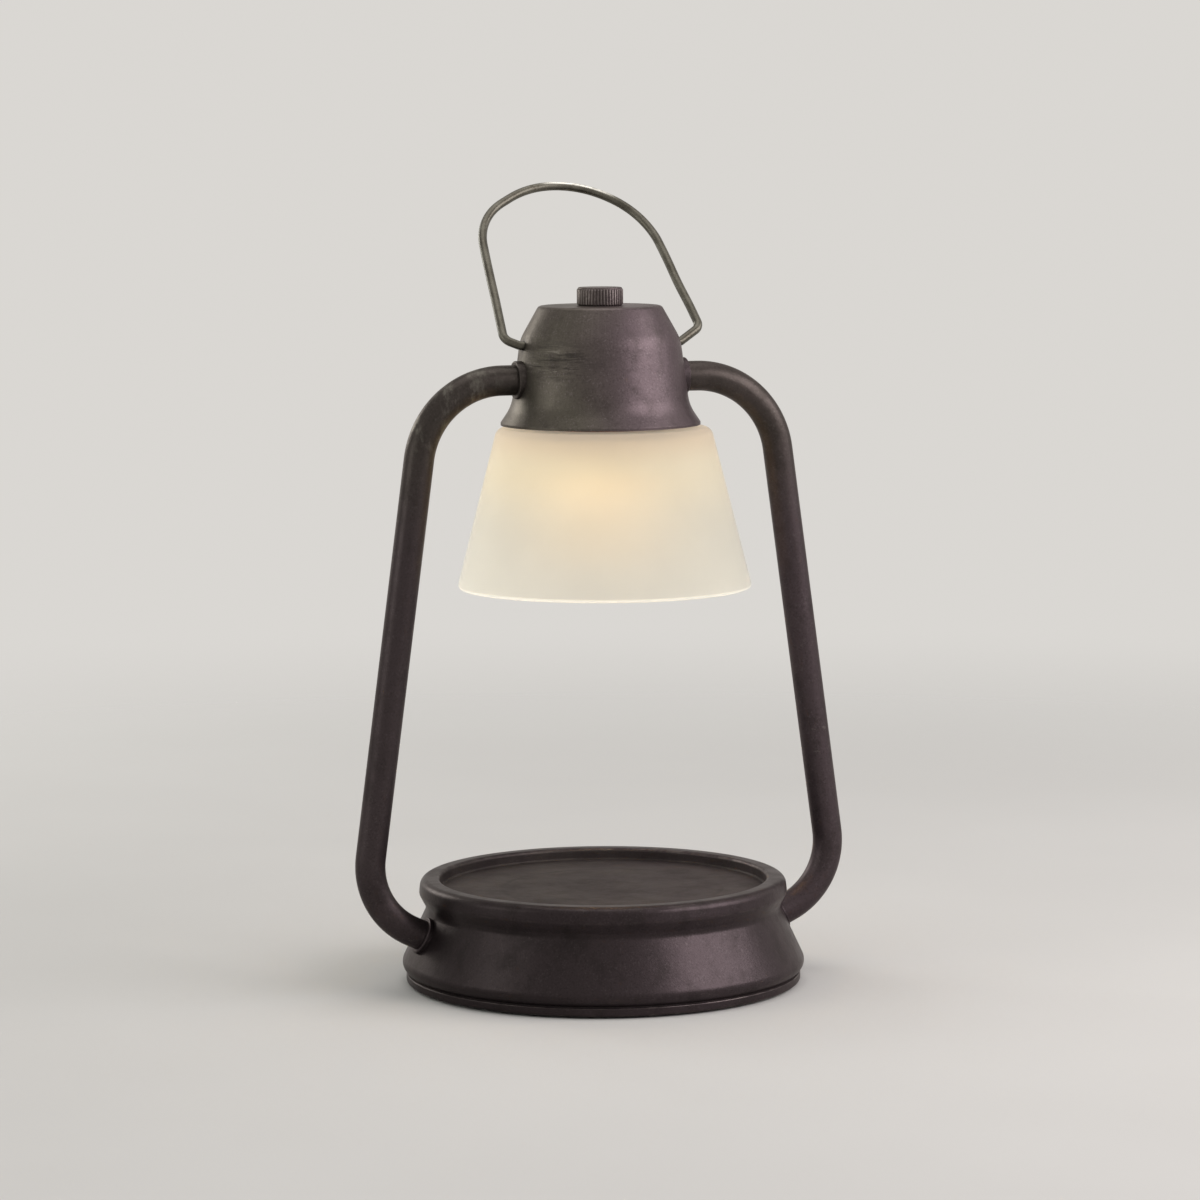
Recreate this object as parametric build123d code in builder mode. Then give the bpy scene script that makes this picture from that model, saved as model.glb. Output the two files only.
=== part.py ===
"""Candle warmer lamp shaped like a barn lantern.

A weighted round base with a shallow tray carries two bent side tubes. The tubes hold a spun
cap, and under the cap hang a frosted glass shade and a twist-lock reflector bulb that warms
a jar candle standing on the tray from above. A wire bail is hinged in the cap.

Origin: centre of the footprint, on the surface the lamp stands on. +Z is up, the two side
tubes lie in the XZ plane and the front is -Y.
"""
import os
from math import atan, cos, radians, sin, tan

from build123d import *

# ---------------------------------------------------------------- driving dimensions (mm)
# Base shell, a sheet steel spinning. Its widths step out and in from the rim's radius.
base_wall = 1.0
base_height = 41.5
rim_radius = 72.4
rim_drop = 6.0
rim_lean = 0.7
rim_width = 7.5
neck_inset = 3.0
neck_drop = 11.6
bulge_overhang = 7.7
bulge_height = 7.1
groove_inset = 3.2
bead_step = 0.7
bead_lift = 0.8
bead_height = 3.4
bead_width = 2.0
bead_round = 0.9
tray_depth = 4.8
lip_width = 10.0
groove_round = 0.8
bulge_round = 4.2
neck_round = 3.5
rim_round = 3.0
rim_edge_round = 3.2
tray_edge_round = 1.5
tray_floor_round = 1.0

# Bottom closure, feet and weight
plate_thickness = 1.2
plate_recess = 1.2
plate_clearance = 0.2
foot_radius = 6.0
foot_inset = 13.4
foot_chamfer = 0.5
foot_count = 4
plate_screw_count = 4
weight_gap = 7.6
weight_width = 28.0
weight_thickness = 9.0
weight_chamfer = 1.0
weight_screw_count = 3
screw_radius = 1.5
screw_head_radius = 2.8
screw_head_height = 1.0
screw_head_taper = 8.0
screw_slot = 0.5
screw_length = 6.0

# Mains terminals and inlet
block_length = 24.0
block_width = 18.0
block_height = 15.0
block_ways = 3
block_screw_radius = 2.0
block_screw_depth = 7.5
block_screw_recess = 1.0
block_screw_slot = 0.7
inlet_height = 15.0
inlet_bore = 3.2
inlet_wall = 1.4
inlet_flange = 1.2
inlet_tail = 4.2

# Side tubes
tube_radius = 5.9
tube_wall = 0.9
tube_entry_drop = 8.1
hip_overhang = 24.2
hip_stub = 5.5
shoulder_overhang = 36.4
shoulder_stub = 6.7
tube_tail = 0.6
tube_clearance = 0.1
collar_width = 1.5
collar_height = 1.8
collar_round = 0.6
seat_width = 2.5
seat_thickness = 3.0
tube_nut_wall = 2.6
tube_nut_height = 4.0
lead_radius = 1.6
lead_depth = 2.7
lead_inset = 3.5
lead_foot_bend = 20.0
lead_drop_bend = 4.0

# Cap, a sheet steel spinning above the shade
cap_bottom = 219.3
cap_height = 46.2
cap_wall = 1.0
cap_room = 14.6
flange_width = 4.3
waist_rise = 7.4
shoulder_inset = 3.4
shoulder_rise = 33.2
crown_inset = 7.3
tube_rise = 18.0
bail_rise = 31.2
waist_round = 16.0
shoulder_round = 16.0
crown_round = 2.0

# Glass shade
shade_gap = 1.1
shade_height = 62.7
shade_wall = 3.0
shade_overhang = 2.8
shade_flare = 15.9
shade_shoulder = 3.6
shade_lip = 1.3
shade_play = 2.0
shade_shift = 1.4

# Shade carrier, stem and nuts
carrier_gap = 4.5
carrier_wall = 1.2
carrier_flange = 7.0
carrier_tail = 2.0
carrier_headroom = 4.5
washer_thickness = 0.8
ring_height = 4.0
ring_clearance = 0.05
ring_notches = 8
ring_notch_radius = 1.6
stem_radius = 5.0
stem_wall = 1.5
stem_tail = 0.6
stem_clearance = 0.1
stem_nut_wall = 2.0
stem_nut_height = 4.0
grommet_wall = 1.6
grommet_flange = 1.0

# Top knob
knob_radius = 9.0
knob_height = 7.0
knob_roof = 1.4
knob_ribs = 46
knob_rib_height = 0.4
knob_rib_width = 0.62
knob_round = 0.5
knob_lift = 0.1
knob_clearance = 0.05

# Lampholder and its bracket
holder_radius = 15.5
holder_flat = 12.5
holder_drop = 4.2
holder_headroom = 5.3
holder_chamfer = 0.8
bracket_thickness = 1.5
bracket_width = 16.0
bracket_clearance = 0.1
bracket_screw_drop = 6.0
bracket_toe = 3.0

# Twist-lock reflector bulb
bulb_gap = 0.3
bulb_base_radius = 13.0
bulb_base_height = 14.0
bulb_base_chamfer = 0.6
bulb_neck_inset = 1.0
bulb_radius = 25.0
bulb_length = 49.0
bulb_rim_height = 3.8
bulb_wall = 1.2
bulb_bulge = 2.6
lens_thickness = 1.5
lens_recess = 0.4
capsule_radius = 4.0
capsule_round = 3.2
capsule_length = 24.0
pin_spacing = 10.0
pin_radius = 1.25
pin_length = 5.5
pin_head_radius = 2.4
pin_head_height = 2.2
pin_head_gap = 0.3
pin_clearance = 0.35
twist_angle = 18.0

# Bail, a bent wire hinged in the cap, drawn leaning to the back
wire_radius = 1.75
bail_knee_gap = 1.1
bail_knee_radius = 4.0
bail_left_overhang = 7.0
bail_left_rise = 3.3
bail_left_corner_inset = 2.4
bail_left_corner_drop = 23.1
bail_left_corner_radius = 27.5
bail_right_overhang = 11.4
bail_right_rise = 7.6
bail_right_corner_inset = 9.1
bail_right_corner_drop = 21.5
bail_right_corner_radius = 34.6
bail_crown_rise = 88.1
bail_crown_shift = 0.7
bail_crown_straight = 0.8
bail_foot_radius = 4.5
bail_lean = 42.0
bail_clearance = 0.08
bail_tail = 4.5
clip_radius = 3.6
clip_thickness = 0.8
clip_gap = 2.0

# ---------------------------------------------------------------- places worked out from them
neck_radius = rim_radius - neck_inset
bulge_radius = rim_radius + bulge_overhang
groove_radius = bulge_radius - groove_inset
bead_radius = groove_radius + bead_step
tray_radius = rim_radius - rim_lean - rim_width
neck_z = base_height - neck_drop
rim_z = base_height - rim_drop
tray_z = base_height - tray_depth
bead_top = bead_lift + bead_height

plate_bottom = bead_lift + plate_recess
plate_top = plate_bottom + plate_thickness
plate_radius = bead_radius - bead_width - plate_clearance
lip_radius = bead_radius - bead_width - lip_width
plate_screw_radius = (lip_radius + plate_radius) / 2
foot_place_radius = plate_radius - foot_inset
weight_radius = lip_radius - weight_gap
weight_bore = weight_radius - weight_width
weight_screw_radius = (weight_radius + weight_bore) / 2
block_top = plate_top + block_height
lead_height = block_top - lead_depth

# The skirt is a cone from the bulge to the neck, and each tube enters it square to its face.
skirt_slope = (bulge_radius - neck_radius) / (neck_z - bulge_height)
skirt_tilt = atan(skirt_slope)
tube_entry_height = neck_z - tube_entry_drop
entry_radius = neck_radius + tube_entry_drop * skirt_slope
entry_point = Vector(entry_radius, 0, tube_entry_height)
entry_out = Vector(cos(skirt_tilt), 0, sin(skirt_tilt))
hip_point = entry_point + entry_out * (hip_overhang / entry_out.X)
inlet_radius = inlet_bore + inlet_wall
inlet_flange_radius = inlet_radius + inlet_flange
inlet_end = neck_radius + (neck_z - inlet_height - inlet_radius) * skirt_slope - base_wall - inlet_tail

carrier_radius = holder_radius + carrier_gap
carrier_flange_radius = carrier_radius + carrier_flange
waist_radius = carrier_radius + cap_room
flange_radius = waist_radius + flange_width
shoulder_cone_radius = waist_radius - shoulder_inset
crown_radius = shoulder_cone_radius - crown_inset
cap_top = cap_bottom + cap_height
tube_z = cap_bottom + tube_rise
bail_z = cap_bottom + bail_rise
waist_z = cap_bottom + waist_rise
shoulder_z = cap_bottom + shoulder_rise
cap_slope = shoulder_inset / (shoulder_z - waist_z)
cap_point = Vector(waist_radius - (tube_z - waist_z) * cap_slope, 0, tube_z)
cap_out = Vector(1, 0, 0)
cap_radius_at_bail = waist_radius - (bail_z - waist_z) * cap_slope
shoulder_point = cap_point + cap_out * shoulder_overhang

collar_radius = tube_radius + collar_width
seat_radius = tube_radius + seat_width
tube_nut_flats = 2 * (tube_radius + tube_nut_wall)
stem_nut_flats = 2 * (stem_radius + stem_nut_wall)
grommet_radius = lead_radius + grommet_wall
lead_drop_reach = holder_radius - lead_inset

shade_top = cap_bottom - shade_gap
shade_bottom = shade_top - shade_height
shade_top_radius = flange_radius + shade_overhang
shade_mouth_radius = shade_top_radius + shade_flare
shade_hole_radius = carrier_radius + shade_play
flange_z = shade_top + washer_thickness
ring_top = shade_top - shade_wall - washer_thickness
carrier_bottom = ring_top - ring_height - carrier_tail
ceiling_z = tube_z + carrier_headroom
ceiling_top = ceiling_z + carrier_wall
bracket_z = ceiling_z - bracket_thickness
lower_nut_z = bracket_z - stem_nut_height
cap_nut_z = cap_top - cap_wall - stem_nut_height
stem_bottom = lower_nut_z - stem_tail
knob_z = cap_top + knob_lift
stem_top = knob_z + knob_height - knob_roof - knob_clearance

holder_z = shade_top - holder_drop
holder_top = tube_z - holder_headroom
holder_lip = pin_length - bulb_gap - pin_head_gap
bulb_top = holder_z - bulb_gap
bulb_base_z = bulb_top - bulb_base_height
bulb_front = bulb_top - bulb_length
bulb_neck_radius = bulb_base_radius - bulb_neck_inset
pin_top = bulb_top + pin_length + pin_head_height

os.makedirs("parts", exist_ok=True)


def save(piece, name):
    """Label a finished piece and write it."""
    piece.label = name
    export_step(piece, f"parts/{name}.step")


def both_sides(point, direction):
    """A plane square to a direction at a point of the right side, and its mirror image."""
    left_point = (-point.X, point.Y, point.Z)
    left_direction = (-direction.X, direction.Y, direction.Z)
    return [
        Plane(origin=point, x_dir=(0, 1, 0), z_dir=direction),
        Plane(origin=left_point, x_dir=(0, 1, 0), z_dir=left_direction),
    ]


def save_mirrored(piece, name):
    """Write a piece of the right side and its mirror image on the left."""
    save(piece, f"{name}_right")
    with BuildPart() as other:
        mirror(piece, about=Plane.YZ)
    save(other.part, f"{name}_left")


def half_turn(before, corner, after):
    """Tangent of half the angle by which a path turns at a corner."""
    return tan(radians((corner - before).get_angle(after - corner) / 2))


entry_planes = both_sides(entry_point, entry_out)
cap_planes = both_sides(cap_point, cap_out)

# ---------------------------------------------------------------- base shell
base_start = (groove_radius, bead_top - base_wall)
base_outline = [
    base_start,
    (groove_radius, bead_top + base_wall / 2),
    (bulge_radius, bulge_height),
    (neck_radius, neck_z),
    (rim_radius, rim_z),
    (rim_radius - rim_lean, base_height),
    (tray_radius, base_height),
    (tray_radius, tray_z),
    (0, tray_z),
]
base_rounds = [
    groove_round,
    bulge_round,
    neck_round,
    rim_round,
    rim_edge_round,
    tray_edge_round,
    tray_floor_round,
]

with BuildPart() as base_envelope:
    with BuildSketch(Plane.XZ):
        with BuildLine():
            FilletPolyline(*base_outline, radius=base_rounds)
            Polyline((0, tray_z), (0, bead_top - base_wall), base_start)
        make_face()
    revolve(axis=Axis.Z)

with BuildPart() as base_shell:
    with BuildSketch(Plane.XZ):
        with BuildLine():
            FilletPolyline(*base_outline, radius=base_rounds)
            offset(amount=base_wall, side=Side.LEFT)
        make_face()
        with Locations((bead_radius - bead_width / 2, bead_lift + bead_height / 2)):
            RectangleRounded(bead_width, bead_height, bead_round)
        with Locations((groove_radius, bead_top)):
            Rectangle(groove_radius - lip_radius, base_wall, align=(Align.MAX, Align.MAX))
    revolve(axis=Axis.Z)
    for plane in entry_planes:
        with BuildSketch(plane):
            Circle(tube_radius + tube_clearance)
        extrude(amount=seat_radius, both=True, mode=Mode.SUBTRACT)
    with BuildSketch(Plane.XZ.offset(-bulge_radius)):
        with Locations((0, inlet_height)):
            Circle(inlet_radius)
    extrude(amount=bulge_radius - inlet_end, mode=Mode.SUBTRACT)
    with BuildSketch(Plane.XY):
        with PolarLocations(plate_screw_radius, plate_screw_count):
            Circle(screw_radius)
    extrude(amount=bead_top + base_wall, mode=Mode.SUBTRACT)
save(base_shell.part, "base_shell")

# ---------------------------------------------------------------- bottom plate, feet and weight
with BuildPart() as bottom_plate:
    with BuildSketch(Plane.XY.offset(plate_bottom)):
        Circle(plate_radius)
        with PolarLocations(plate_screw_radius, plate_screw_count):
            Circle(screw_radius, mode=Mode.SUBTRACT)
        with PolarLocations(weight_screw_radius, weight_screw_count):
            Circle(screw_radius, mode=Mode.SUBTRACT)
    extrude(amount=plate_thickness)
save(bottom_plate.part, "bottom_plate")

with BuildPart() as foot_pads:
    with BuildSketch():
        with PolarLocations(foot_place_radius, foot_count, start_angle=180 / foot_count):
            Circle(foot_radius)
    extrude(amount=plate_bottom)
    chamfer(foot_pads.faces().group_by(Axis.Z)[0].edges(), length=foot_chamfer)
save(foot_pads.part, "foot_pads")

with BuildPart() as base_weight:
    with BuildSketch(Plane.XY.offset(plate_top)):
        Circle(weight_radius)
        Circle(weight_bore, mode=Mode.SUBTRACT)
    extrude(amount=weight_thickness)
    chamfer(base_weight.faces().sort_by(Axis.Z)[-1].edges(), length=weight_chamfer)
    with BuildSketch(Plane.XY.offset(plate_top)):
        with PolarLocations(weight_screw_radius, weight_screw_count):
            Circle(screw_radius)
    extrude(amount=screw_length, mode=Mode.SUBTRACT)
save(base_weight.part, "base_weight")


def screw(plane):
    """A slotted screw, its head behind the plane and its shank along the plane's normal."""
    with BuildPart() as fastener:
        with BuildSketch(plane):
            Circle(screw_head_radius)
        extrude(amount=-screw_head_height, taper=screw_head_taper)
        with BuildSketch(plane.offset(-screw_head_height)):
            Rectangle(2 * screw_head_radius, screw_slot)
        extrude(amount=screw_slot, mode=Mode.SUBTRACT)
        with BuildSketch(plane):
            Circle(screw_radius)
        extrude(amount=screw_length)
    return fastener.part


base_screw = screw(Plane.XY.offset(plate_bottom))
with BuildPart() as plate_screws:
    with PolarLocations(plate_screw_radius, plate_screw_count):
        add(base_screw)
save(plate_screws.part, "plate_screws")

with BuildPart() as weight_screws:
    with PolarLocations(weight_screw_radius, weight_screw_count):
        add(base_screw)
save(weight_screws.part, "weight_screws")

# ---------------------------------------------------------------- mains inlet and terminals
inlet_reach = base_envelope.part.bounding_box().max.Y
inlet_face = Plane.XZ.offset(-inlet_reach)
with BuildPart() as inlet_bushing:
    with BuildSketch(inlet_face):
        with Locations((0, inlet_height)):
            Circle(inlet_flange_radius)
    extrude(amount=inlet_reach - inlet_end)
    add(base_envelope.part, mode=Mode.SUBTRACT)
    with BuildSketch(inlet_face):
        with Locations((0, inlet_height)):
            Circle(inlet_radius)
    extrude(amount=inlet_reach - inlet_end)
    with BuildSketch(inlet_face):
        with Locations((0, inlet_height)):
            Circle(inlet_bore)
    extrude(amount=inlet_reach - inlet_end, mode=Mode.SUBTRACT)
save(inlet_bushing.part, "inlet_bushing")

block_pitch = block_width / block_ways
with BuildPart() as terminal_block:
    with BuildSketch(Plane.XY.offset(plate_top)):
        Rectangle(block_length, block_width)
    extrude(amount=block_height)
    with BuildSketch(Plane.XY.offset(block_top)):
        with GridLocations(block_length / 2, block_pitch, 2, block_ways):
            Circle(block_screw_radius)
    extrude(amount=-block_screw_depth, mode=Mode.SUBTRACT)
save(terminal_block.part, "terminal_block")

with BuildPart() as terminal_screws:
    with BuildSketch(Plane.XY.offset(block_top - block_screw_depth)):
        with GridLocations(block_length / 2, block_pitch, 2, block_ways):
            Circle(block_screw_radius)
    extrude(amount=block_screw_depth - block_screw_recess)
    with BuildSketch(Plane.XY.offset(block_top - block_screw_recess)):
        with GridLocations(block_length / 2, block_pitch, 2, block_ways):
            Rectangle(2 * block_screw_radius, block_screw_slot)
    extrude(amount=-block_screw_slot, mode=Mode.SUBTRACT)
save(terminal_screws.part, "terminal_screws")

# ---------------------------------------------------------------- cap
cap_outline = [
    (flange_radius, cap_bottom),
    (flange_radius, cap_bottom + cap_wall),
    (waist_radius, waist_z),
    (shoulder_cone_radius, shoulder_z),
    (crown_radius, cap_top),
    (0, cap_top),
]
cap_rounds = [0, waist_round, shoulder_round, crown_round]

with BuildPart() as cap_envelope:
    with BuildSketch(Plane.XZ):
        with BuildLine():
            FilletPolyline(*cap_outline, radius=cap_rounds)
            Polyline((0, cap_top), (0, cap_bottom), (flange_radius, cap_bottom))
        make_face()
    revolve(axis=Axis.Z)

with BuildPart() as cap_shell:
    with BuildSketch(Plane.XZ):
        with BuildLine():
            FilletPolyline(*cap_outline, radius=cap_rounds)
            offset(amount=cap_wall, side=Side.LEFT)
        make_face()
        with Locations((0, cap_top)):
            Rectangle(2 * (stem_radius + stem_clearance), 4 * cap_wall, mode=Mode.SUBTRACT)
    revolve(axis=Axis.Z)
    for plane in cap_planes:
        with BuildSketch(plane):
            Circle(tube_radius + tube_clearance)
        extrude(amount=seat_radius, both=True, mode=Mode.SUBTRACT)
    with BuildSketch(Plane.YZ):
        with Locations((0, bail_z)):
            Circle(wire_radius + bail_clearance)
    extrude(amount=flange_radius, both=True, mode=Mode.SUBTRACT)
save(cap_shell.part, "cap_shell")

# ---------------------------------------------------------------- side tubes and their fixings
tube_end = seat_thickness + tube_nut_height + tube_tail
tube_foot = entry_point - entry_out * (base_wall + tube_end)
tube_head = cap_point - cap_out * (cap_wall + tube_end)

# Each bend takes all of its run but the straight stub at the shell.
hip_run = (hip_point - entry_point).length - hip_stub
hip_radius = hip_run / half_turn(entry_point, hip_point, shoulder_point)
shoulder_run = (shoulder_point - cap_point).length - shoulder_stub
shoulder_radius = shoulder_run / half_turn(hip_point, shoulder_point, cap_point)
tube_points = [tube_foot, hip_point, shoulder_point, tube_head]

with BuildPart() as right_tube:
    with BuildLine() as tube_path:
        FilletPolyline(*tube_points, radius=[hip_radius, shoulder_radius])
    with BuildSketch(Plane(origin=tube_foot, x_dir=(0, 1, 0), z_dir=entry_out)):
        Circle(tube_radius)
        Circle(tube_radius - tube_wall, mode=Mode.SUBTRACT)
    sweep(path=tube_path.wire())
save(right_tube.part, "right_tube")

with BuildPart() as left_tube:
    mirror(right_tube.part, about=Plane.YZ)
save(left_tube.part, "left_tube")


def collar(plane, envelope):
    """Ring round a tube, its back cut to the curve of the shell that it covers."""
    with BuildPart() as ring:
        with BuildSketch(plane.offset(collar_height)):
            Circle(collar_radius)
        extrude(amount=-2 * collar_height)
        fillet(ring.edges().sort_by(Axis(plane.origin, plane.z_dir))[-1], collar_round)
        with BuildSketch(plane.offset(collar_height)):
            Circle(tube_radius)
        extrude(amount=-2 * collar_height, mode=Mode.SUBTRACT)
        add(envelope, mode=Mode.SUBTRACT)
    return ring.part


def seats(planes, wall, envelope, shell):
    """Washers between a shell and the tube nuts, cut to the curve of the shell's inside."""
    with BuildPart() as pair:
        for plane in planes:
            with BuildSketch(plane.offset(-wall - seat_thickness)):
                Circle(seat_radius)
                Circle(tube_radius + tube_clearance, mode=Mode.SUBTRACT)
            extrude(amount=seat_thickness + wall)
        add(envelope, mode=Mode.INTERSECT)
        add(shell, mode=Mode.SUBTRACT)
    return pair.part


def hex_nut(plane, flats, height, bore):
    """A plain hexagon nut standing on a plane."""
    with BuildPart() as nut:
        with BuildSketch(plane):
            RegularPolygon(radius=flats / 2, side_count=6, major_radius=False)
            Circle(bore, mode=Mode.SUBTRACT)
        extrude(amount=height)
    return nut.part


def tube_nuts(planes, wall):
    """The nuts that pull both tubes against the inside of a shell."""
    with BuildPart() as pair:
        for plane in planes:
            face = plane.offset(-wall - seat_thickness)
            add(hex_nut(face, tube_nut_flats, -tube_nut_height, tube_radius))
    return pair.part


save_mirrored(collar(entry_planes[0], base_envelope.part), "base_collar")
save_mirrored(collar(cap_planes[0], cap_envelope.part), "cap_collar")
save(seats(entry_planes, base_wall, base_envelope.part, base_shell.part), "base_tube_seats")
save(seats(cap_planes, cap_wall, cap_envelope.part, cap_shell.part), "cap_tube_seats")
save(tube_nuts(entry_planes, base_wall), "base_tube_nuts")
save(tube_nuts(cap_planes, cap_wall), "cap_tube_nuts")

# The lamp lead runs from the terminals through the right tube to the lampholder.
lead_foot_reach = entry_radius - (tube_entry_height - lead_height) / tan(skirt_tilt)
lead_start = Vector(block_length / 2, 0, lead_height)
lead_route = [
    lead_start,
    Vector(lead_foot_reach, 0, lead_height),
    hip_point,
    shoulder_point,
    Vector(lead_drop_reach, 0, tube_z),
    Vector(lead_drop_reach, 0, holder_top),
]
lead_bends = [lead_foot_bend, hip_radius, shoulder_radius, lead_drop_bend]

with BuildPart() as lamp_lead:
    with BuildLine() as lead_path:
        FilletPolyline(*lead_route, radius=lead_bends)
    with BuildSketch(Plane(origin=lead_start, x_dir=(0, 1, 0), z_dir=(1, 0, 0))):
        Circle(lead_radius)
    sweep(path=lead_path.wire())
save(lamp_lead.part, "lamp_lead")

# ---------------------------------------------------------------- top knob, stem and nuts
with BuildPart() as top_knob:
    with BuildSketch(Plane.XY.offset(knob_z)):
        Circle(knob_radius - knob_rib_height)
    extrude(amount=knob_height)
    fillet(top_knob.faces().sort_by(Axis.Z)[-1].edges(), knob_round)
    with BuildSketch(Plane.XY.offset(knob_z + knob_round)):
        Circle(knob_radius - knob_rib_height)
        with PolarLocations(knob_radius - knob_rib_height, knob_ribs):
            Rectangle(2 * knob_rib_height, knob_rib_width)
    extrude(amount=knob_height - 2 * knob_round)
    with BuildSketch(Plane.XY.offset(knob_z)):
        Circle(stem_radius + knob_clearance)
    extrude(amount=knob_height - knob_roof, mode=Mode.SUBTRACT)
save(top_knob.part, "top_knob")

with BuildPart() as stem:
    with BuildSketch(Plane.XY.offset(stem_bottom)):
        Circle(stem_radius)
        Circle(stem_radius - stem_wall, mode=Mode.SUBTRACT)
    extrude(amount=stem_top - stem_bottom)
save(stem.part, "stem")

with BuildPart() as stem_nuts:
    for nut_z in (lower_nut_z, ceiling_top, cap_nut_z):
        add(hex_nut(Plane.XY.offset(nut_z), stem_nut_flats, stem_nut_height, stem_radius))
save(stem_nuts.part, "stem_nuts")

# ---------------------------------------------------------------- shade carrier and its ring
with BuildPart() as shade_carrier:
    with BuildSketch(Plane.XZ):
        with Locations((carrier_radius, carrier_bottom)):
            Rectangle(carrier_wall, ceiling_top - carrier_bottom, align=(Align.MAX, Align.MIN))
        with Locations((carrier_radius, ceiling_top)):
            Rectangle(
                carrier_radius - stem_radius - stem_clearance,
                carrier_wall,
                align=(Align.MAX, Align.MAX),
            )
        with Locations((carrier_radius, flange_z)):
            Rectangle(
                carrier_flange_radius - carrier_radius,
                carrier_wall,
                align=(Align.MIN, Align.MIN),
            )
    revolve(axis=Axis.Z)
    fillet(shade_carrier.faces().sort_by(Axis.Z)[-1].outer_wire().edges(), carrier_wall)
    with BuildSketch(Plane.YZ):
        with Locations((0, tube_z)):
            Circle(grommet_radius)
    extrude(amount=carrier_radius + carrier_wall, mode=Mode.SUBTRACT)
save(shade_carrier.part, "shade_carrier")

with BuildPart() as lead_grommet:
    with BuildSketch(Plane.YZ.offset(carrier_radius - 2 * carrier_wall)):
        with Locations((0, tube_z)):
            Circle(grommet_radius)
    extrude(amount=2 * carrier_wall)
    with BuildSketch(Plane.YZ.offset(carrier_radius)):
        with Locations((0, tube_z)):
            Circle(grommet_radius + grommet_flange)
    extrude(amount=grommet_flange)
    with BuildSketch(Plane.YZ):
        with Locations((0, tube_z)):
            Circle(lead_radius)
    extrude(amount=2 * carrier_radius, mode=Mode.SUBTRACT)
save(lead_grommet.part, "lead_grommet")

with BuildPart() as shade_ring:
    with BuildSketch(Plane.XY.offset(ring_top)):
        Circle(carrier_flange_radius)
        Circle(carrier_radius + ring_clearance, mode=Mode.SUBTRACT)
        with PolarLocations(carrier_flange_radius, ring_notches):
            Circle(ring_notch_radius, mode=Mode.SUBTRACT)
    extrude(amount=-ring_height)
save(shade_ring.part, "shade_ring")

with BuildPart() as shade_washers:
    for washer_z in (shade_top, ring_top):
        with BuildSketch(Plane.XY.offset(washer_z)):
            Circle(carrier_flange_radius - washer_thickness)
            Circle(carrier_radius + stem_clearance, mode=Mode.SUBTRACT)
        extrude(amount=washer_thickness)
save(shade_washers.part, "shade_washers")

# ---------------------------------------------------------------- glass shade
# The shade hangs a little to one side, as far as the play in its top hole lets it.
shade_slope = (shade_mouth_radius - shade_top_radius) / shade_height
shade_wall_across = shade_wall / cos(atan(shade_slope))
shade_section = [
    (shade_hole_radius, shade_top),
    (shade_top_radius, shade_top),
    (shade_mouth_radius, shade_bottom),
    (shade_mouth_radius - shade_wall_across, shade_bottom),
    (shade_top_radius + shade_wall * shade_slope - shade_wall_across, shade_top - shade_wall),
    (shade_hole_radius, shade_top - shade_wall),
]
shade_rounds = [0, shade_shoulder, shade_lip, shade_lip, shade_shoulder - shade_wall, 0]

with BuildPart() as glass_shade:
    with BuildSketch(Plane(origin=(shade_shift, 0, 0), x_dir=(1, 0, 0), z_dir=(0, -1, 0))):
        with BuildLine():
            FilletPolyline(*shade_section, radius=shade_rounds, close=True)
        make_face()
    revolve(axis=Axis((shade_shift, 0, 0), (0, 0, 1)))
save(glass_shade.part, "glass_shade")

# ---------------------------------------------------------------- lampholder and bracket
pin_reach = pin_spacing / 2
pocket_z = holder_z + holder_lip
twist_paths = [CenterArc((0, 0), pin_reach, start, -twist_angle) for start in (0, 180)]

with BuildPart() as lampholder:
    with BuildSketch(Plane.XY.offset(holder_z)):
        Circle(holder_radius)
        Rectangle(2 * holder_radius, 2 * holder_flat, mode=Mode.INTERSECT)
    extrude(amount=holder_top - holder_z)
    chamfer(lampholder.faces().sort_by(Axis.Z)[-1].edges(), length=holder_chamfer)
    with BuildSketch(Plane.XY.offset(holder_z)):
        for path in twist_paths:
            SlotArc(path, 2 * (pin_radius + pin_clearance))
        with PolarLocations(pin_reach, 2, start_angle=-twist_angle):
            Circle(pin_head_radius + pin_clearance)
    extrude(amount=holder_lip, mode=Mode.SUBTRACT)
    with BuildSketch(Plane.XY.offset(pocket_z)):
        for path in twist_paths:
            SlotArc(path, 2 * (pin_head_radius + pin_clearance))
    extrude(amount=pin_top + pin_clearance - pocket_z, mode=Mode.SUBTRACT)
    for side in (1, -1):
        with BuildSketch(Plane.XZ.offset(side * holder_flat)):
            with Locations((0, holder_top - bracket_screw_drop)):
                Circle(screw_radius)
        extrude(amount=-side * (screw_length - bracket_thickness), mode=Mode.SUBTRACT)
save(lampholder.part, "lampholder")

bracket_reach = holder_flat + bracket_clearance + bracket_thickness
bracket_screw_z = holder_top - bracket_screw_drop
leg_bottom = bracket_screw_z - bracket_toe

with BuildPart() as holder_bracket:
    with BuildSketch(Plane.YZ):
        with Locations((0, ceiling_z)):
            Rectangle(2 * bracket_reach, ceiling_z - leg_bottom, align=(Align.CENTER, Align.MAX))
        with Locations((0, bracket_z)):
            Rectangle(
                2 * (bracket_reach - bracket_thickness),
                ceiling_z - leg_bottom,
                align=(Align.CENTER, Align.MAX),
                mode=Mode.SUBTRACT,
            )
    extrude(amount=bracket_width / 2, both=True)
    with BuildSketch(Plane.XY.offset(bracket_z)):
        Circle(stem_radius + stem_clearance)
    extrude(amount=bracket_thickness, mode=Mode.SUBTRACT)
    with BuildSketch(Plane.XZ):
        with Locations((0, bracket_screw_z)):
            Circle(screw_radius)
    extrude(amount=bracket_reach, both=True, mode=Mode.SUBTRACT)
save(holder_bracket.part, "holder_bracket")

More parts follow.
